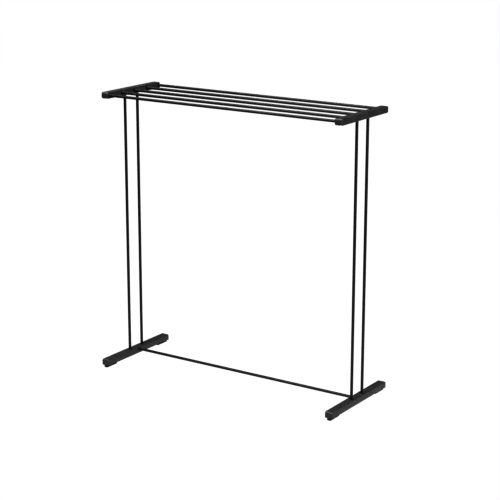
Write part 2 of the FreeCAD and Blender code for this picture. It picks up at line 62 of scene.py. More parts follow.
Item = bpy.types.Object
Material = bpy.types.Material
NodeSocket = bpy.types.NodeSocket
Value = float | tuple | NodeSocket

MM = 0.001
BODY = "root"
WHITE = (1.0, 1.0, 1.0, 1.0)
SHARP_ANGLE = math.radians(32.0)
TURN_STEPS = 48
ARC_STEPS = 9
MOUTH_STEPS = 7
SMALL_STEPS = 6
TINY_STEPS = 4
CROWN_STEPS = 6
OVERCUT = 1.0 * MM
LEAST_RADIUS = 0.02 * MM
CORNER_SLACK = 1.01
EDGE_LEAN = 0.80
FLAT_LEAN = 0.99
RAILS = 5
HALVES = (-1, 1)

log = logging.getLogger("drying_rack")


# --- Names ---

class Axis(Enum):
    """The axis that a turned or stacked shape stands along."""

    X = 0
    Y = 1
    Z = 2

    def carry(self, points: Floats) -> Floats:
        """Turn points made about +Z so that they stand about this axis."""
        return np.roll(points, self.value + 1, axis=-1)


class Half(Enum):
    """One of two halves of the rack, with the sign of its coordinate."""

    @property
    def word(self) -> str:
        """The half's word in node names."""
        return self.name.lower()


class Side(Half):
    """Left or right half, with the sign of its X."""

    LEFT = -1
    RIGHT = 1


class End(Half):
    """Front or rear half, with the sign of its Y."""

    FRONT = -1
    REAR = 1


class Cut(Enum):
    """What one closed mesh does to another."""

    REMOVE = "DIFFERENCE"
    JOIN = "UNION"
    KEEP = "INTERSECT"


@dataclass(frozen=True)
class Box:
    """Lowest and highest corner of a node or of a space, in metres."""

    low: Point
    high: Point

    @classmethod
    def of_node(cls, node: str) -> "Box":
        """Read a node's box at rest from the frame."""
        low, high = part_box(node)
        return cls(tuple(low), tuple(high))

    @property
    def middle(self) -> Floats:
        """The box's centre."""
        return (np.array(self.low) + np.array(self.high)) / 2

    @property
    def span(self) -> Floats:
        """The box's three side lengths."""
        return np.array(self.high) - np.array(self.low)


# --- Surfaces ---

@dataclass(frozen=True)
class Surface:
    """A grid of points with faces between neighbours.

    Row i and column j hold the surface at its parameters u_i and v_j. Columns always
    wrap round. Rows either wrap too, as on a ring, or end in two flat caps.
    """

    points: Floats
    wrap_rows: bool = False

    def faces(self) -> list[list[int]]:
        """Work out the faces, turned so that they point outwards.

        Returns:
            Four corners for each cell of the grid, and the caps' outlines.
        """
        rows, columns = self.points.shape[:2]
        index = np.arange(rows * columns).reshape(rows, columns)
        rings = np.vstack([index, index[:1]]) if self.wrap_rows else index
        near, far = rings[:-1], rings[1:]
        quads = np.stack([near, np.roll(near, -1, axis=1), np.roll(far, -1, axis=1), far], axis=-1)
        quads = quads.reshape(-1, 4)
        caps = [] if self.wrap_rows else [index[0][::-1], index[-1]]
        if self.signed_volume(quads, caps) < 0:
            quads, caps = quads[:, ::-1], [cap[::-1] for cap in caps]
        return quads.tolist() + [cap.tolist() for cap in caps]

    def signed_volume(self, quads: Ints, caps: list[Ints]) -> float:
        """Add up the signed volumes between the origin and every face's triangles.

        Args:
            quads: corner indices of the four-sided faces.
            caps: corner indices round each flat cap.

        Returns:
            The volume, positive when the faces point outwards.
        """
        fans = [np.stack([np.full(len(cap) - 2, cap[0]), cap[1:-1], cap[2:]], axis=-1) for cap in caps]
        triangles = np.concatenate([quads[:, [0, 1, 2]], quads[:, [0, 2, 3]], *fans])
        a, b, c = np.moveaxis(self.points.reshape(-1, 3)[triangles], 1, 0)
        return float(np.einsum("ij,ij->", a, np.cross(b, c)) / 6)


def arc(centre: Pair, radius: float, start: float, stop: float, steps: int = ARC_STEPS) -> Floats:
    """Points on a circular arc: centre plus radius times cosine and sine of the angle.

    Args:
        centre: the arc's centre.
        radius: its radius.
        start: first angle in degrees.
        stop: last angle in degrees.
        steps: how many points.

    Returns:
        An array of steps points in the plane.
    """
    angle = np.radians(np.linspace(start, stop, steps))
    return np.array(centre) + radius * np.stack([np.cos(angle), np.sin(angle)], axis=-1)


def turned(profile: Floats, foot: Point, axis: Axis, closed: bool = False,
           steps: int = TURN_STEPS) -> Surface:
    """Turn a profile round an axis.

    Formula: the profile's point (radius, height) at angle a stands at (radius cos a,
    radius sin a, height) above the foot, and the axis says which way is up.

    Args:
        profile: radius and height of each point, from one end to the other.
        foot: where the axis starts.
        axis: the axis to turn round.
        closed: whether the profile is a closed loop, as the wall of a tube is.
        steps: how many points round the turn.

    Returns:
        The turned surface.
    """
    angle = np.linspace(0, 2 * np.pi, steps, endpoint=False)
    radius, height = profile[:, :1], profile[:, 1:]
    rings = np.stack([radius * np.cos(angle), radius * np.sin(angle),
                      np.broadcast_to(height, (len(profile), steps))], axis=-1)
    return Surface(axis.carry(rings) + np.array(foot), closed)


@dataclass(frozen=True)
class Outline:
    """A rounded rectangle that can be drawn again further in.

    The lower edge may stay put while the others move in, as on a bar that is rounded
    above and flat below.
    """

    low: Pair
    high: Pair
    low_radius: float
    high_radius: float
    low_follow: float = 1.0

    def rings(self, inset: Floats) -> Floats:
        """Draw the outline once for each inset.

        Formula: each corner is a quarter circle whose radius shrinks by the inset,
        with its centre one radius in from the two moved edges.

        Args:
            inset: how far in each copy is drawn.

        Returns:
            An array (copies, points, 2).
        """
        across = np.array([1, -1, -1, 1])
        up = np.array([1, 1, -1, -1])
        inset = np.asarray(inset)[:, None]
        upper = up > 0
        rise = np.where(upper, inset, inset * self.low_follow)
        radius = np.where(upper, self.high_radius, self.low_radius) - rise
        radius = np.maximum(radius, LEAST_RADIUS)
        side = np.where(across > 0, self.high[0] - inset, self.low[0] + inset)
        level = np.where(upper, self.high[1] - rise, self.low[1] + rise)
        quarter = np.linspace(0, np.pi / 2, ARC_STEPS)
        angle = np.pi / 2 * np.arange(4)[:, None] + quarter
        x = (side - across * radius)[..., None] + radius[..., None] * np.cos(angle)
        y = (level - up * radius)[..., None] + radius[..., None] * np.sin(angle)
        return np.stack([x, y], axis=-1).reshape(len(inset), -1, 2)


def stacked(outline: Outline, levels: Floats, inset: Floats, axis: Axis) -> Surface:
    """Stack copies of an outline along an axis.

    Formula: copy k lies in the plane at levels[k] along the axis and is drawn in by
    inset[k], so the two lists together are the shape's wall.

    Args:
        outline: the outline, in the plane across the axis.
        levels: each copy's place along the axis.
        inset: how far in each copy is drawn.
        axis: the axis along which they are stacked.

    Returns:
        The closed surface, with a flat cap on both ends.
    """
    rings = outline.rings(inset)
    height = np.broadcast_to(np.asarray(levels)[:, None, None], rings.shape[:2] + (1,))
    return Surface(axis.carry(np.concatenate([rings, height], axis=-1)))


def block(box: Box, radius: float = 0.3 * MM, axis: Axis = Axis.Z) -> Surface:
    """A plain block with its edges rounded along the axis and at both ends.

    Args:
        box: the block's limits.
        radius: the edges' radius.
        axis: the axis along which it is stacked.

    Returns:
        The block's surface.
    """
    order = np.roll(np.arange(3), -(axis.value + 1))
    low, high = np.array(box.low)[order], np.array(box.high)[order]
    corner = radius * CORNER_SLACK
    outline = Outline(tuple(low[:2]), tuple(high[:2]), corner, corner)
    rounding = arc((0, 0), radius, 0, 90, TINY_STEPS)
    levels = np.concatenate([low[2] + radius - rounding[::-1, 1], high[2] - radius + rounding[:, 1]])
    inset = np.concatenate([radius - rounding[::-1, 0], radius - rounding[:, 0]])
    return stacked(outline, levels, inset, axis)


# --- Meshes and pieces ---

def linked(name: str, data: bpy.types.ID) -> Item:
    """Make an object around its data and link it to the scene."""
    item = bpy.data.objects.new(name, data)
    bpy.context.scene.collection.objects.link(item)
    return item


def mesh_of(name: str, surfaces: list[Surface]) -> Item:
    """Put surfaces into one new mesh object.

    Args:
        name: the object's name.
        surfaces: closed surfaces.

    Returns:
        The linked object, at the origin.
    """
    vertices: list[Floats] = []
    faces: list[list[int]] = []
    first = 0
    for surface in surfaces:
        points = surface.points.reshape(-1, 3)
        faces += [[first + corner for corner in face] for face in surface.faces()]
        vertices.append(points)
        first += len(points)
    mesh = bpy.data.meshes.new(name)
    mesh.from_pydata(np.concatenate(vertices).tolist(), [], faces)
    mesh.update()
    return linked(name, mesh)


def carve(item: Item, cut: Cut, surfaces: list[Surface]) -> None:
    """Change an object's mesh by closed shapes.

    Args:
        item: the object whose mesh changes.
        cut: whether the shapes are removed, joined, or all that is kept.
        surfaces: the shapes. They don't touch each other.
    """
    tool = mesh_of(item.name + "_tool", surfaces)
    modifier = item.modifiers.new("carve", "BOOLEAN")
    modifier.operation = cut.value
    modifier.solver = "EXACT"
    modifier.object = tool
    graph = bpy.context.evaluated_depsgraph_get()
    carved = bpy.data.meshes.new_from_object(item.evaluated_get(graph))
    item.modifiers.clear()
    item.data = carved
    bpy.data.objects.remove(tool)


# --- Finishes ---

class Graph:
    """A material's node tree, built one node at a time around one Principled shader."""

    def __init__(self, name: str) -> None:
        """Start a material with its shader, its output and its coordinates."""
        self.material = bpy.data.materials.new(name)
        self.material.use_nodes = True
        self.tree = self.material.node_tree
        self.tree.nodes.clear()
        self.shader = self.add("BsdfPrincipled")
        output = self.add("OutputMaterial")
        self.tree.links.new(self.shader.outputs["BSDF"], output.inputs["Surface"])
        coordinates = self.add("TexCoord")
        self.place = coordinates.outputs["Object"]
        self.facing = coordinates.outputs["Normal"]

    def add(self, kind: str) -> bpy.types.Node:
        """Add a shader node of a kind."""
        return self.tree.nodes.new("ShaderNode" + kind)

    def feed(self, socket: NodeSocket, value: Value) -> None:
        """Link a socket to another one, or set its own number."""
        if isinstance(value, NodeSocket):
            self.tree.links.new(value, socket)
        else:
            socket.default_value = value

    def maths(self, operation: str, first: Value, second: Value = 0.0) -> NodeSocket:
        """Add a Math node and return its result."""
        node = self.add("Math")
        node.operation = operation
        self.feed(node.inputs[0], first)
        self.feed(node.inputs[1], second)
        return node.outputs[0]

    def remap(self, value: Value, start: float, stop: float,
              low: float, high: float) -> NodeSocket:
        """Carry a value smoothly from start..stop to low..high, held at both ends."""
        node = self.add("MapRange")
        node.interpolation_type = "SMOOTHSTEP"
        for socket, number in zip(list(node.inputs)[:5], (value, start, stop, low, high)):
            self.feed(socket, number)
        return node.outputs[0]

    def tint(self, amount: Value, first: Value, second: Value) -> NodeSocket:
        """Mix two colours by an amount from 0, all first, to 1, all second."""
        node = self.add("Mix")
        node.data_type = "RGBA"
        self.feed(node.inputs[0], amount)
        for socket, colour in zip(list(node.inputs)[6:8], (first, second)):
            self.feed(socket, colour if isinstance(colour, NodeSocket) else (*colour, 1.0))
        return node.outputs[2]

    def noise(self, grain: float, detail: float = 2.0,
              stretch: Point = (1.0, 1.0, 1.0)) -> NodeSocket:
        """Soft noise whose blots are about one grain across.

        Args:
            grain: size of a blot, in metres.
            detail: how many finer layers it has.
            stretch: how many grains long a blot is along each axis.

        Returns:
            A value around 0.5.
        """
        scaled = self.add("VectorMath")
        scaled.operation = "MULTIPLY"
        self.feed(scaled.inputs[0], self.place)
        self.feed(scaled.inputs[1], tuple(1.0 / length for length in stretch))
        node = self.add("TexNoise")
        self.feed(node.inputs["Vector"], scaled.outputs[0])
        node.inputs["Scale"].default_value = 1.0 / grain
        node.inputs["Detail"].default_value = detail
        return node.outputs[0]

    def cells(self, grain: float) -> NodeSocket:
        """Distance to the nearest of many scattered points, one to each grain."""
        node = self.add("TexVoronoi")
        self.feed(node.inputs["Vector"], self.place)
        node.inputs["Scale"].default_value = 1.0 / grain
        return node.outputs["Distance"]

    def bump(self, height: Value, depth: float, strength: float,
             under: "NodeSocket | None" = None) -> NodeSocket:
        """Raise the surface by a height map, over another bump if there is one."""
        node = self.add("Bump")
        node.inputs["Strength"].default_value = strength
        node.inputs["Distance"].default_value = depth
        self.feed(node.inputs["Height"], height)
        if under is not None:
            self.feed(node.inputs["Normal"], under)
        return node.outputs[0]

    def component(self, vector: NodeSocket, axis: Axis) -> NodeSocket:
        """Return one component of a vector."""
        node = self.add("SeparateXYZ")
        self.feed(node.inputs[0], vector)
        return node.outputs[axis.value]

    def edges(self) -> NodeSocket:
        """Find rounded edges: 1 where the surface leans between two axes, 0 on flat faces."""
        leans = [self.maths("ABSOLUTE", self.component(self.facing, axis)) for axis in Axis]
        largest = self.maths("MAXIMUM", self.maths("MAXIMUM", leans[0], leans[1]), leans[2])
        return self.remap(largest, EDGE_LEAN, FLAT_LEAN, 1.0, 0.0)

    def finish(self, colour: Value, roughness: Value, normal: Value, level: float,
               metallic: float = 0.0) -> Material:
        """Join the results to the shader and return the material."""
        self.feed(self.shader.inputs["Base Color"], colour)
        self.feed(self.shader.inputs["Roughness"], roughness)
        self.feed(self.shader.inputs["Normal"], normal)
        self.shader.inputs["Specular IOR Level"].default_value = level
        self.shader.inputs["Metallic"].default_value = metallic
        return self.material


@dataclass(frozen=True)
class Finish:
    """A finish of the rack, with the record's slot that it belongs to."""

    name: str
    slot: str
    dark: Colour
    light: Colour
    smooth: float
    rough: float
    level: float = 0.5

    def material(self) -> Material:
        """Return the finish's material, made the first time that it is asked for."""
        return bpy.data.materials.get(self.name) or self.make(Graph(self.name))

    def make(self, graph: Graph) -> Material:
        """Build the material's nodes."""
        raise NotImplementedError


@dataclass(frozen=True)
class PowderCoat(Finish):
    """Satin powder coat on thin tube: fine orange peel, with rubs along the tube."""

    axis: Axis = Axis.X
    peel: float = 1.3 * MM
    spangle: float = 0.35 * MM
    rub_length: float = 60.0

    def make(self, graph: Graph) -> Material:
        """Mottle the colour, add rubs that run along the tube, and raise the orange peel."""
        along = tuple(self.rub_length if axis is self.axis else 1.0 for axis in Axis)
        clouds = graph.noise(28 * MM)
        rubs = graph.remap(graph.noise(1.1 * MM, 3.0, along), 0.60, 0.72, 0.0, 1.0)
        worn = graph.remap(graph.noise(45 * MM, 2.0), 0.42, 0.62, 0.0, 0.8)
        marks = graph.maths("MULTIPLY", rubs, worn)
        specks = graph.remap(graph.noise(self.spangle, 1.0), 0.56, 0.74, 0.0, 0.45)
        tone = graph.maths("MAXIMUM", graph.maths("MULTIPLY", clouds, 0.4), specks)
        tone = graph.maths("MAXIMUM", tone, graph.maths("MULTIPLY", marks, 0.8))
        colour = graph.tint(tone, self.dark, self.light)
        satin = graph.remap(clouds, 0.3, 0.7, self.smooth, self.rough)
        roughness = graph.maths("SUBTRACT", satin, graph.maths("MULTIPLY", marks, 0.08))
        peel = graph.bump(graph.noise(self.peel, 1.5), 0.020 * MM, 0.35)
        grain = graph.bump(graph.noise(self.spangle, 2.0), 0.004 * MM, 0.35, peel)
        return graph.finish(colour, roughness, grain, self.level)


@dataclass(frozen=True)
class MouldedPlastic(Finish):
    """Charcoal moulded plastic: spark-eroded grain, faint flow marks and polished edges."""

    grain: float = 0.55 * MM
    pit: float = 1.1 * MM
    edge_gain: float = 1.05

    def make(self, graph: Graph) -> Material:
        """Vary the charcoal, lighten and smooth the rounded edges, and pit the faces."""
        clouds = graph.noise(55 * MM, 3.0)
        flow = graph.noise(5 * MM, 2.0, (1.0, 9.0, 1.0))
        fine = graph.noise(self.grain, 2.0)
        patches = graph.remap(graph.noise(7 * MM), 0.35, 0.65, 0.55, 1.0)
        edge = graph.maths("MULTIPLY", graph.edges(), patches)
        tone = graph.maths("ADD", graph.maths("MULTIPLY", clouds, 0.5), graph.maths("MULTIPLY", flow, 0.25))
        tone = graph.maths("ADD", tone, graph.maths("MULTIPLY", fine, 0.25))
        body = graph.tint(tone, self.dark, self.light)
        worn = tuple(self.edge_gain * part for part in self.light)
        colour = graph.tint(graph.maths("MULTIPLY", edge, 0.6), body, worn)
        satin = graph.remap(clouds, 0.3, 0.7, self.smooth, self.rough)
        roughness = graph.maths("SUBTRACT", satin, graph.maths("MULTIPLY", edge, 0.10))
        pits = graph.bump(graph.cells(self.pit), 0.020 * MM, 0.25)
        grain = graph.bump(fine, 0.018 * MM, 0.45, pits)
        return graph.finish(colour, roughness, grain, self.level)


@dataclass(frozen=True)
class SoftRubber(Finish):
    """Matt rubber: open grain, with pale dust on the parts nearest the floor."""

    dust: Colour = (0.09, 0.088, 0.084)
    dust_height: float = 2.5 * MM

    def make(self, graph: Graph) -> Material:
        """Mix in the dust by height above the floor, and raise the grain."""
        grain = graph.noise(0.8 * MM, 3.0)
        body = graph.tint(graph.noise(9 * MM), self.dark, self.light)
        low = graph.remap(graph.component(graph.place, Axis.Z), 0.0, self.dust_height, 1.0, 0.0)
        patches = graph.remap(graph.noise(2.5 * MM, 4.0), 0.45, 0.70, 0.05, 0.8)
        colour = graph.tint(graph.maths("MULTIPLY", low, patches), body, self.dust)
        roughness = graph.remap(grain, 0.3, 0.7, self.smooth, self.rough)
        return graph.finish(colour, roughness, graph.bump(grain, 0.06 * MM, 0.6), self.level)


@dataclass(frozen=True)
class PlatedSteel(Finish):
    """Zinc-plated steel: a cool metal with a faint yellow bloom and fine drawn lines."""

    bloom: Colour = (0.62, 0.56, 0.42)

    def make(self, graph: Graph) -> Material:
        """Tint the metal with the bloom, and vary the gloss along the drawn lines."""
        lines = graph.noise(0.25 * MM, 2.0, (1.0, 1.0, 8.0))
        metal = graph.tint(lines, self.dark, self.light)
        cloudy = graph.remap(graph.noise(3 * MM, 2.0), 0.45, 0.75, 0.0, 0.6)
        roughness = graph.remap(lines, 0.3, 0.7, self.smooth, self.rough)
        normal = graph.bump(lines, 0.01 * MM, 0.4)
        colour = graph.tint(cloudy, metal, self.bloom)
        return graph.finish(colour, roughness, normal, self.level, metallic=1.0)


RAIL_COAT = PowderCoat("rail_powder_coat", "tube_paint", (0.006, 0.006, 0.0065), (0.0105, 0.0105, 0.011),
                       0.44, 0.52, 0.30)
UPRIGHT_COAT = replace(RAIL_COAT, name="upright_powder_coat", axis=Axis.Z)
BAR_PLASTIC = MouldedPlastic("bar_moulded_plastic", "bar_plastic", (0.016, 0.016, 0.0165),
                             (0.034, 0.034, 0.035), 0.52, 0.64, 0.4)
PLUG_PLASTIC = MouldedPlastic("plug_nylon", "plug_plastic", (0.025, 0.025, 0.025),
                              (0.045, 0.045, 0.045), 0.45, 0.55, 0.45)
PAD_RUBBER = SoftRubber("pad_rubber_matt", "pad_rubber", (0.017, 0.017, 0.017),
                        (0.031, 0.031, 0.031), 0.78, 0.92, 0.3)
PLATED_STEEL = PlatedSteel("zinc_plated_steel", "plated_steel", (0.50, 0.51, 0.52),
                           (0.66, 0.67, 0.68), 0.24, 0.40)


def dress(item: Item, finish: Finish, *nodes: str) -> None:
    """Give a new piece its finish and its body, and hide the frame's nodes that it stands for.

    Args:
        item: the piece.
        finish: its finish.
        nodes: the frame's nodes that it replaces.
    """
    mesh = item.data
    mesh.name = item.name
    mesh.materials.clear()
    mesh.materials.append(finish.material())
    mesh.polygons.foreach_set("use_smooth", np.ones(len(mesh.polygons), dtype=bool))
    mesh.set_sharp_from_angle(angle=SHARP_ANGLE)
    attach(item, BODY)
    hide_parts(*nodes)
    log.info("%s: %d faces for %s", item.name, len(mesh.polygons), ", ".join(nodes))


def dress_node(node: str, finish: Finish) -> None:
    """Give one of the frame's own nodes its finish."""
    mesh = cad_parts[node].data
    mesh.materials.clear()
    mesh.materials.append(finish.material())
    log.info("%s: frame node in %s", node, finish.slot)


# --- Shared shapes ---

@dataclass(frozen=True)
class BarShape:
    """Outer shape of a moulded bar that lies front to rear, made as the right-hand one.

    Its side view is a rounded rectangle. Across the bar that outline is drawn in at
    both side faces, which rounds the long edges, and bulges a little at mid-width.
    """

    space: Box
    top_radius: float
    base_radius: float
    rim: float
    crown: float = 0.2 * MM
    base_follow: float = 1.0

    def surface(self) -> Surface:
        """Stack the side outline across the bar.

        Formula: in from a side face by rim (1 - cos a) the outline is drawn in by
        rim (1 - sin a), plus the crown times the squared distance from mid-width,
        which is counted in half widths.
        """
        (x_low, y_low, z_low), (x_high, y_high, z_high) = self.space.low, self.space.high
        outline = Outline((y_low, z_low), (y_high, z_high), self.base_radius, self.top_radius,
                          self.base_follow)
        rim = arc((0, 0), self.rim, 0, 90)
        width = x_high - x_low
        crown = np.linspace(self.rim, width / 2, CROWN_STEPS + 1)[1:]
        from_face = np.concatenate([self.rim - rim[:, 0], crown])
        inset = np.concatenate([self.rim - rim[:, 1], np.zeros(CROWN_STEPS)])
        inset = inset + self.crown * (1 - 2 * from_face / width) ** 2
        levels = np.concatenate([x_low + from_face, x_high - from_face[-2::-1]])
        return stacked(outline, levels, np.concatenate([inset, inset[-2::-1]]), Axis.X)


@dataclass(frozen=True)
class Bore:
    """A stepped round hole: radius and depth of each step, with a flared mouth.

    Depths are measured into the part from its face at foot, along the axis, and the
    direction is +1 or -1 along that axis.
    """

    foot: Point
    axis: Axis
    direction: int
    steps: tuple[Pair, ...]
    flare: float = 0.0

    def surface(self) -> Surface:
        """Turn the hole's profile: its straight steps after a quarter-round mouth."""
        first = self.steps[0][0]
        profile = [(first + self.flare, -OVERCUT)]
        if self.flare:
            profile += arc((first + self.flare, self.flare), self.flare, 270, 180, MOUTH_STEPS).tolist()
        for number, (radius, depth) in enumerate(self.steps):
            if number:
                profile.append((radius, self.steps[number - 1][1]))
            profile.append((radius, depth))
        return turned(np.array(profile) * (1.0, self.direction), self.foot, self.axis)


def place_for(side: Side, surfaces: list[Surface]) -> list[Surface]:
    """Turn right-hand surfaces half round +Z for the left-hand moulding."""
    turn = np.array([side.value, side.value, 1])
    return [Surface(surface.points * turn, surface.wrap_rows) for surface in surfaces]


@dataclass(frozen=True)
class Sockets:
    """The sockets' sizes, and the tubes' places and thickness as read from the frame."""

    play: float = 0.1 * MM
    flare: float = 0.9 * MM
    depth: float = 14.0 * MM
    floor: float = 2.6 * MM
    hole: float = 2.2 * MM
    head: float = 4.0 * MM

    @property
    def radius(self) -> float:
        """A socket's radius: the tube's and the play."""
        return float(Box.of_node("stretcher").span[2]) / 2 + self.play

    @property
    def upright_x(self) -> float:
        """X of the right-hand uprights."""
        return float(Box.of_node("upright_right_front").middle[0])

    @property
    def upright_ys(self) -> list[float]:
        """Y of the front and rear uprights."""
        return [float(Box.of_node("upright_right_" + end.word).middle[1]) for end in End]

    @property
    def rail_ys(self) -> list[float]:
        """Y of the hanging rails, front to rear."""
        return [float(Box.of_node("hanging_rail_%d" % number).middle[1]) for number in range(1, RAILS + 1)]


SOCKETS = Sockets()


# --- Tubes ---

@dataclass(frozen=True)
class Tube:
    """One straight tube with an open bore and rolled lips, where a frame node lies."""

    node: str
    axis: Axis
    finish: Finish
    pierced: tuple[float, ...] = ()
    wall: float = 0.8 * MM
    lip: float = 0.3 * MM

    def section(self, radius: float, length: float) -> Floats:
        """Outline the wall: a thin rounded rectangle from the bore to the outside.

        Args:
            radius: the tube's outer radius.
            length: the tube's length.

        Returns:
            Radius and height of each point, all the way round.
        """
        outline = Outline((radius - self.wall, 0.0), (radius, length), self.lip, self.lip)
        return outline.rings(np.zeros(1))[0]

    def build(self) -> None:
        """Turn the wall round the tube's axis."""
        box = Box.of_node(self.node)
        length = float(box.span[self.axis.value])
        radius = float(np.delete(box.span, self.axis.value).min()) / 2
        foot = box.middle
        foot[self.axis.value] = box.low[self.axis.value]
        surface = turned(self.section(radius, length), foot, self.axis, closed=True)
        item = mesh_of(self.node + "_tube", [surface])
        if self.pierced:
            carve(item, Cut.REMOVE, [Bore((x * side.value, 0.0, box.low[2]), Axis.Z, 1,
                                          ((SOCKETS.hole, radius),)).surface()
                                     for x in self.pierced for side in Side])
        dress(item, self.finish, self.node)


def build_tubes() -> None:
    """Build every tube: hanging rails, the stretcher and the uprights."""
    lying = [Tube("hanging_rail_%d" % (number + 1), Axis.X, RAIL_COAT) for number in range(RAILS)]
    screw_x = float(Box.of_node("stretcher_screw_right").middle[0])
    lying.append(Tube("stretcher", Axis.X, RAIL_COAT, (screw_x,)))
    standing = [Tube("upright_%s_%s" % (side.word, end.word), Axis.Z, UPRIGHT_COAT)
                for side in Side for end in End]
    for tube in lying + standing:
        tube.build()


# --- Feet ---

@dataclass(frozen=True)
class FootBar:
    """A foot bar: rounded shell open below, ribs, socket blocks and the pads' seats."""

    side: Side
    wall: float = 2.4 * MM
    top_radius: float = 6.5 * MM
    base_radius: float = 0.8 * MM
    rim: float = 2.0 * MM
    hollow_corner: float = 2.0 * MM
    hollow_fillet: float = 1.2 * MM
    draft: float = 0.25 * MM
    bays: int = 3
    rib: float = 2.0 * MM
    rib_drop: float = 0.8 * MM
    block: float = 16.0 * MM
    collar_radius: float = 6.8 * MM
    collar_proud: float = 1.5 * MM
    collar_lip: float = 0.6 * MM
    cross_screw_inset: float = 8.0 * MM
    cross_seat: float = 5.0 * MM
    seat_margin: float = 4.0 * MM
    stem_spacing: float = 28.0 * MM
    stem_radius: float = 4.1 * MM
    stem_depth: float = 9.0 * MM
    recess_depth: float = 30.0 * MM

    def space(self) -> Box:
        """The right-hand bar's box, without the collar on its inner side."""
        whole = Box.of_node("foot_bar_right")
        half = whole.high[0] - Box.of_node("foot_pad_right_front").middle[0]
        return Box((whole.high[0] - 2 * half, whole.low[1], whole.low[2]), whole.high)

    def build(self) -> None:
        """Shape the bar, hollow it, add its ribs and blocks and bore its holes."""
        space = self.space()
        shape = BarShape(space, self.top_radius, self.base_radius, self.rim, base_follow=0.0)
        item = mesh_of("foot_bar_%s_moulding" % self.side.word, place_for(self.side, [shape.surface()]))
        for cut, surfaces in ((Cut.REMOVE, [self.hollow(space)] + self.coring(space)),
                              (Cut.JOIN, self.stiffeners(space)), (Cut.JOIN, [self.collar(space)]),
                              (Cut.REMOVE, self.bores(space)), (Cut.REMOVE, [self.cross_bore(space)])):
            carve(item, cut, place_for(self.side, surfaces))
        dress(item, BAR_PLASTIC, "foot_bar_" + self.side.word)

    def seat_start(self) -> float:
        """Y where the hollow ends and the solid seat of the rear pad begins."""
        return float(Box.of_node("foot_pad_right_rear").low[1]) - self.seat_margin

    def hollow(self, space: Box) -> Surface:
        """The space under the bar: a rounded tray, its walls leaning in with height."""
        reach = self.seat_start()
        outline = Outline((space.low[0] + self.wall, -reach), (space.high[0] - self.wall, reach),
                          self.hollow_corner, self.hollow_corner)
        roof = space.high[2] - self.wall
        fillet = arc((0, 0), self.hollow_fillet, 0, 90, SMALL_STEPS)
        levels = np.concatenate([[space.low[2] - OVERCUT, space.low[2]],
                                 roof - self.hollow_fillet + fillet[:, 1]])
        inset = np.concatenate([[0.0, 0.0], self.draft + self.hollow_fillet - fillet[:, 0]])
        return stacked(outline, levels, inset, Axis.Z)

    def coring(self, space: Box) -> list[Surface]:
        """A hollow between the stems' holes of each pad's seat."""
        reach = self.stem_spacing / 2 - self.stem_radius - self.rib
        cores = []
        for end in End:
            pad = Box.of_node("foot_pad_right_" + end.word)
            y = float(pad.middle[1])
            cores.append(block(Box((pad.low[0] + self.wall, y - reach, space.low[2] - OVERCUT),
                                   (pad.high[0] - self.wall, y + reach, space.high[2] - self.wall))))
        return cores

    def stiffeners(self, space: Box) -> list[Surface]:
        """Ribs and socket blocks across the hollow, front and rear alike."""
        sink = self.wall / 2
        low_z, high_z = space.low[2] + self.rib_drop, space.high[2] - sink
        start, stop = max(SOCKETS.upright_ys) + self.block / 2, self.seat_start()
        bay = (stop - start - (self.bays - 1) * self.rib) / self.bays
        ribs = [start + number * (bay + self.rib) - self.rib / 2 for number in range(1, self.bays)]
        places = [(0.0, self.block)] + [(y, self.block) for y in SOCKETS.upright_ys]
        places += [(y * end.value, self.rib) for y in ribs for end in End]
        return [block(Box((space.low[0] + sink, y - width / 2, low_z),
                          (space.high[0] - sink, y + width / 2, high_z))) for y, width in places]

    def collar(self, space: Box) -> Surface:
        """The low rounded ring where the stretcher enters."""
        lip = self.collar_lip
        curve = arc((self.collar_radius - lip, -self.collar_proud + lip), lip, 270, 360, SMALL_STEPS)
        profile = np.vstack([curve, [[self.collar_radius, self.wall]]])
        foot = (space.low[0], 0.0, self.stretcher_z())
        return turned(profile, foot, Axis.X)

    def stretcher_z(self) -> float:
        """Height of the stretcher's axis."""
        return float(Box.of_node("stretcher").middle[2])

    def bores(self, space: Box) -> list[Surface]:
        """Sockets, screw holes with their recesses, and the pads' stem holes."""
        floor = space.high[2] - Box.of_node("upright_right_front").low[2]
        seat = floor + SOCKETS.floor
        steps = ((SOCKETS.radius, floor), (SOCKETS.hole, seat), (SOCKETS.head, self.recess_depth))
        holes = [Bore((SOCKETS.upright_x, y, space.high[2]), Axis.Z, -1, steps, SOCKETS.flare)
                 for y in SOCKETS.upright_ys]
        mouth = (space.low[0] - self.collar_proud, 0.0, self.stretcher_z())
        depth = SOCKETS.depth + self.collar_proud
        holes.append(Bore(mouth, Axis.X, 1, ((SOCKETS.radius, depth),), SOCKETS.flare))
        pads = [Box.of_node("foot_pad_right_" + end.word).middle for end in End]
        stems = [Bore((float(x), float(y) + half * self.stem_spacing / 2, space.low[2]), Axis.Z, 1,
                      ((self.stem_radius, self.stem_depth),)) for x, y, _ in pads for half in HALVES]
        return [hole.surface() for hole in holes + stems]

    def cross_bore(self, space: Box) -> Surface:
        """The hole from below for the stretcher's screw."""
        foot = (space.low[0] + self.cross_screw_inset, 0.0, space.low[2])
        steps = ((SOCKETS.head, self.cross_seat), (SOCKETS.hole, self.stretcher_z() - space.low[2]))
        return Bore(foot, Axis.Z, 1, steps).surface()


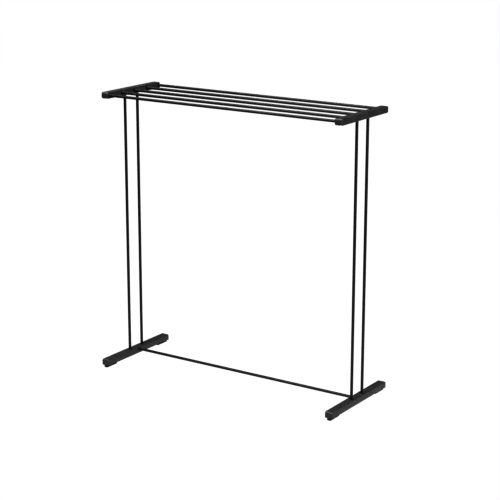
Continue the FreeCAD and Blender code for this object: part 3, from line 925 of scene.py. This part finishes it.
@dataclass(frozen=True)
class FootPad:
    """A soft pad under one end of a foot bar, with a grooved tread and two stems."""

    side: Side
    end: End
    thickness: float = 8.5 * MM
    corner: float = 4.0 * MM
    edge: float = 0.9 * MM
    seat_edge: float = 0.3 * MM
    dome: float = 1.0 * MM
    grooves: int = 5
    stem_radius: float = 4.0 * MM
    stem_spacing: float = 28.0 * MM
    groove: float = 2.0 * MM
    groove_depth: float = 0.8 * MM

    def build(self) -> None:
        """Stack the pad, join its stems and cut its tread."""
        node = "foot_pad_%s_%s" % (self.side.word, self.end.word)
        space = Box.of_node(node)
        item = mesh_of(node + "_moulding", [self.body(space)])
        carve(item, Cut.JOIN, self.stems(space))
        carve(item, Cut.REMOVE, self.tread(space))
        dress(item, PAD_RUBBER, node)

    def body(self, space: Box) -> Surface:
        """The pad's rounded rectangle, drawn in at the tread's and the seat's edge."""
        outline = Outline(space.low[:2], space.high[:2], self.corner, self.corner)
        low = arc((0, 0), self.edge, 0, 90, SMALL_STEPS)[::-1]
        high = arc((0, 0), self.seat_edge, 0, 90, TINY_STEPS)
        levels = np.concatenate([space.low[2] + self.edge - low[:, 1],
                                 space.low[2] + self.thickness - self.seat_edge + high[:, 1]])
        inset = np.concatenate([self.edge - low[:, 0], self.seat_edge - high[:, 0]])
        return stacked(outline, levels, inset, Axis.Z)

    def stems(self, space: Box) -> list[Surface]:
        """Two round stems with domed ends."""
        base = self.thickness / 2
        dome = arc((self.stem_radius - self.dome, space.span[2] - self.dome), self.dome, 0, 90, SMALL_STEPS)
        profile = np.vstack([[[self.stem_radius, base]], dome])
        middle = space.middle
        return [turned(profile, (middle[0], middle[1] + half * self.stem_spacing / 2, space.low[2]), Axis.Z)
                for half in HALVES]

    def tread(self, space: Box) -> list[Surface]:
        """Shallow grooves across the tread, evenly spaced."""
        middle, half = space.middle, self.groove / 2
        places = middle[1] + space.span[1] * (np.arange(1, self.grooves + 1) / (self.grooves + 1) - 0.5)
        return [block(Box((space.low[0] - OVERCUT, y - half, space.low[2] - OVERCUT),
                          (space.high[0] + OVERCUT, y + half, space.low[2] + self.groove_depth)),
                      axis=Axis.X) for y in places]


# --- Deck bars ---

@dataclass(frozen=True)
class DeckBar:
    """A deck bar: a carrier tray with the tubes' sockets under a snap-on cover."""

    side: Side
    corner: float = 6.0 * MM
    rim: float = 3.2 * MM
    wall: float = 2.4 * MM
    cover_top: float = 2.2 * MM
    cover_end: float = 1.6 * MM
    gap: float = 0.2 * MM
    block: float = 16.0 * MM
    notch_width: float = 9.0 * MM
    notch_depth: float = 5.0 * MM
    notch_offset: float = 6.5 * MM
    notch_run: float = 15.0 * MM
    snap_width: float = 10.0 * MM
    snap_reach: float = 1.4 * MM
    notch_edge: float = 0.5 * MM
    bead_edge: float = 0.25 * MM
    seat_edge: float = 0.2 * MM
    snap_rise: float = 0.4 * MM
    snap_depth: float = 1.1 * MM

    def build(self) -> None:
        """Build the cover and the carrier."""
        space = Box.of_node("deck_cover_right")
        self.cover(space)
        self.carrier(space)

    def blank(self, space: Box) -> Surface:
        """The whole bar's outer shape."""
        return BarShape(space, self.corner, self.corner, self.rim).surface()

    def shape(self, kind: str, space: Box, cuts: list[tuple[Cut, list[Surface]]]) -> None:
        """Start from the blank, carve it step by step and dress it."""
        node = "%s_%s" % (kind, self.side.word)
        item = mesh_of(node + "_moulding", place_for(self.side, [self.blank(space)]))
        for cut, surfaces in cuts:
            carve(item, cut, place_for(self.side, surfaces))
        dress(item, BAR_PLASTIC, node)

    def cover(self, space: Box) -> None:
        """Top plate, outer wall and both ends, with snap beads along the lower edge."""
        inside = block(Box((space.low[0] - OVERCUT, space.low[1] + self.cover_end, space.low[2] - OVERCUT),
                           (space.high[0] - self.cover_top, space.high[1] - self.cover_end,
                            space.high[2] - self.cover_top)))
        wall_x = space.high[0] - self.cover_top
        beads = [block(Box((wall_x - self.snap_reach, y - self.snap_width / 2, space.low[2] + self.snap_rise),
                           (wall_x + self.gap, y + self.snap_width / 2, space.low[2] + self.snap_depth)),
                       self.bead_edge, Axis.Y) for y in self.snap_ys()]
        self.shape("deck_cover", space, [
            (Cut.REMOVE, [inside]), (Cut.JOIN, beads), (Cut.REMOVE, self.notches(space))])

    def carrier(self, space: Box) -> None:
        """Tray with its floor, inner wall and end walls, socket blocks and bored sockets."""
        x_low, _, z_low = space.low
        x_high, y_high, z_high = space.high
        top = z_high - self.cover_top - self.gap
        outer = x_high - self.cover_top - self.gap
        end = y_high - self.cover_end - self.gap
        zone = block(Box((x_low - OVERCUT, -end, z_low - OVERCUT), (outer, end, top)))
        tray = block(Box((x_low + self.wall, self.wall - end, z_low + self.wall),
                         (x_high + OVERCUT, end - self.wall, z_high + OVERCUT)))
        self.shape("deck_carrier", space, [
            (Cut.KEEP, [zone]), (Cut.REMOVE, [tray]), (Cut.JOIN, self.blocks(space, outer, end, top)),
            (Cut.REMOVE, self.sockets(space)), (Cut.REMOVE, self.snap_seats(space, outer)),
            (Cut.REMOVE, self.notches(space))])

    def snap_ys(self) -> list[float]:
        """Y of the cover's snap beads: between the rails, two on each half."""
        outer, inner = SOCKETS.rail_ys[-1], SOCKETS.rail_ys[-2]
        return [place * end.value for place in ((outer + inner) / 2, (outer + inner) / 4) for end in End]

    def notches(self, space: Box) -> list[Surface]:
        """The right-hand moulding's prising notches: outboard in front, inboard at the rear."""
        cuts = []
        inner, outer = space.high[1] - self.notch_run, space.high[1] + OVERCUT
        for end in End:
            x = float(space.middle[0]) - self.notch_offset * end.value
            low, high = sorted((end.value * inner, end.value * outer))
            cuts.append(block(Box((x - self.notch_width / 2, low, space.low[2] - OVERCUT),
                                  (x + self.notch_width / 2, high, space.low[2] + self.notch_depth)),
                              self.notch_edge, Axis.Y))
        return cuts

    def blocks(self, space: Box, outer: float, end: float, top: float) -> list[Surface]:
        """Blocks round the rails' sockets, the full height, and lower ones round the uprights'."""
        sink, half = self.wall / 2, self.block / 2
        web_x = space.low[0] + SOCKETS.depth + SOCKETS.floor
        web_z = space.low[2] + SOCKETS.depth + SOCKETS.floor
        made = []
        for y in SOCKETS.rail_ys:
            low = sink - end if y - half < -end + self.wall else y - half
            high = end - sink if y + half > end - self.wall else y + half
            made.append((low, high, web_x, top))
        made += [(y - half, y + half, outer, web_z) for y in SOCKETS.upright_ys]
        return [block(Box((space.low[0] + sink, low, space.low[2] + sink), (x, high, z)))
                for low, high, x, z in made]

    def sockets(self, space: Box) -> list[Surface]:
        """Sockets for the rails in the inner side and for the uprights in the underside."""
        through = SOCKETS.depth + SOCKETS.floor + OVERCUT
        steps = ((SOCKETS.radius, SOCKETS.depth), (SOCKETS.hole, through))
        rail_z = float(Box.of_node("hanging_rail_1").middle[2])
        bores = [Bore((space.low[0], y, rail_z), Axis.X, 1, steps, SOCKETS.flare) for y in SOCKETS.rail_ys]
        bores += [Bore((SOCKETS.upright_x, y, space.low[2]), Axis.Z, 1, steps, SOCKETS.flare)
                  for y in SOCKETS.upright_ys]
        return [bore.surface() for bore in bores]

    def snap_seats(self, space: Box, outer: float) -> list[Surface]:
        """Recesses in the tray's lower edge for the cover's beads."""
        reach = self.snap_width / 2 + self.gap
        return [block(Box((outer - self.snap_reach, y - reach, space.low[2] - OVERCUT),
                          (space.high[0] + OVERCUT, y + reach, space.low[2] + self.snap_depth + self.gap)),
                      self.seat_edge, Axis.Y) for y in self.snap_ys()]


# --- Fasteners ---

STEEL_FASTENERS = ("upright_foot_screws", "upright_deck_screws", "rail_screws",
                   "stretcher_screw", "upright_inserts", "rail_inserts")


def dress_fasteners(side: Side) -> None:
    """Give one side's screws, inserts and plug, all hidden in the bars, their finishes."""
    for kind in STEEL_FASTENERS:
        dress_node("%s_%s" % (kind, side.word), PLATED_STEEL)
    dress_node("stretcher_plug_" + side.word, PLUG_PLASTIC)


# --- Studio ---

@dataclass(frozen=True)
class SoftLight:
    """A square soft light that faces a point and is hidden from the camera."""

    name: str
    place: Point
    target: Point
    size: float
    power: float

    def build(self) -> None:
        """Add the light to the scene."""
        lamp = bpy.data.lights.new(self.name, "AREA")
        lamp.shape = "SQUARE"
        lamp.size = self.size
        lamp.energy = self.power
        item = linked(self.name, lamp)
        item.location = self.place
        aim = Vector(self.target) - Vector(self.place)
        item.visible_camera = False
        item.rotation_euler = aim.to_track_quat("-Z", "Y").to_euler()


@dataclass(frozen=True)
class StudioCamera:
    """The camera: its place, its lens and the three turns of its line of sight."""

    place: Point = (2.8909, -4.2789, 1.8690)
    lens: float = 107.10
    yaw: float = -0.5879
    pitch: float = 0.26162
    roll: float = 0.0015

    def build(self) -> None:
        """Add the camera. Yaw turns from +Y towards +X, and pitch looks down."""
        forward = Vector((math.sin(self.yaw) * math.cos(self.pitch),
                          math.cos(self.yaw) * math.cos(self.pitch), -math.sin(self.pitch)))
        level = Vector((math.cos(self.yaw), -math.sin(self.yaw), 0.0))
        upward = level.cross(forward)
        right = math.cos(self.roll) * level + math.sin(self.roll) * upward
        head = math.cos(self.roll) * upward - math.sin(self.roll) * level
        data = bpy.data.cameras.new("camera")
        data.lens = self.lens
        item = linked("camera", data)
        turn = Matrix((right, head, -forward)).transposed().to_4x4()
        item.matrix_world = Matrix.Translation(self.place) @ turn
        bpy.context.scene.camera = item


@dataclass(frozen=True)
class Studio:
    """Evenly glowing floor, soft lights, a plain bright backdrop and the tone curve.

    light_floor lies just above the floor and stands for the light that a white floor throws back.
    """

    floor_size: float = 60.0
    floor_dark: Colour = (0.003, 0.003, 0.003)
    floor_light: Colour = (0.004, 0.004, 0.004)
    backdrop: float = 1.0
    fill: float = 0.17
    contrast: float = 2.0
    lights: tuple[SoftLight, ...] = (
        SoftLight("light_key", (-1.2, -3.2, 3.6), (0.0, 0.0, 0.5), 1.6, 440.0),
        SoftLight("light_top", (-2.0, 0.6, 4.5), (0.0, 0.0, 0.6), 2.5, 270.0),
        SoftLight("light_right", (3.5, -0.6, 2.2), (0.0, 0.0, 0.8), 1.6, 360.0),
        SoftLight("light_floor", (0.6, 0.0, 0.003), (0.6, 0.0, 1.0), 3.0, 64.0),
    )

    def build(self) -> None:
        """Build the studio and set the picture's tone curve."""
        self.lay_floor()
        self.hang_backdrop()
        for light in self.lights:
            light.build()
        StudioCamera().build()
        view = bpy.context.scene.view_settings
        view.view_transform = "Standard"
        view.gamma = 1.0 / self.contrast

    def lay_floor(self) -> None:
        """Lay the floor: nearly black, but glowing, so it looks white and shows no shadow."""
        half = self.floor_size / 2
        mesh = bpy.data.meshes.new("floor")
        mesh.from_pydata([(-half, -half, 0), (half, -half, 0), (half, half, 0), (-half, half, 0)],
                         [], [(0, 1, 2, 3)])
        item = linked("floor", mesh)
        graph = Graph("studio_floor")
        blots = graph.remap(graph.noise(0.5), 0.3, 0.7, 0.0, 1.0)
        colour = graph.tint(blots, self.floor_dark, self.floor_light)
        graph.shader.inputs["Emission Color"].default_value = WHITE
        graph.shader.inputs["Emission Strength"].default_value = self.backdrop
        mesh.materials.append(graph.finish(colour, 0.9, graph.bump(blots, 0.1 * MM, 0.1), 0.0))
        item.visible_glossy = False
        item.visible_diffuse = False

    def hang_backdrop(self) -> None:
        """Make the surroundings white to the camera and dim to the rack."""
        world = bpy.data.worlds.new("studio_world")
        bpy.context.scene.world = world
        world.use_nodes = True
        tree = world.node_tree
        tree.nodes.clear()
        path = tree.nodes.new("ShaderNodeLightPath")
        mix = tree.nodes.new("ShaderNodeMixShader")
        output = tree.nodes.new("ShaderNodeOutputWorld")
        tree.links.new(path.outputs["Is Camera Ray"], mix.inputs[0])
        for socket, strength in ((mix.inputs[1], self.fill), (mix.inputs[2], self.backdrop)):
            background = tree.nodes.new("ShaderNodeBackground")
            background.inputs["Color"].default_value = WHITE
            background.inputs["Strength"].default_value = strength
            tree.links.new(background.outputs[0], socket)
        tree.links.new(mix.outputs[0], output.inputs["Surface"])


# --- The rack ---

def write_sizes() -> None:
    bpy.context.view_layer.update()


def main() -> None:
    """Build and dress the rack, then the studio."""
    logging.basicConfig(level=logging.INFO, format="%(name)s: %(message)s")
    build_tubes()
    for side in Side:
        FootBar(side).build()
        DeckBar(side).build()
        dress_fasteners(side)
        for end in End:
            FootPad(side, end).build()
    write_sizes()
    Studio().build()


if __name__ == "__main__":
    main()
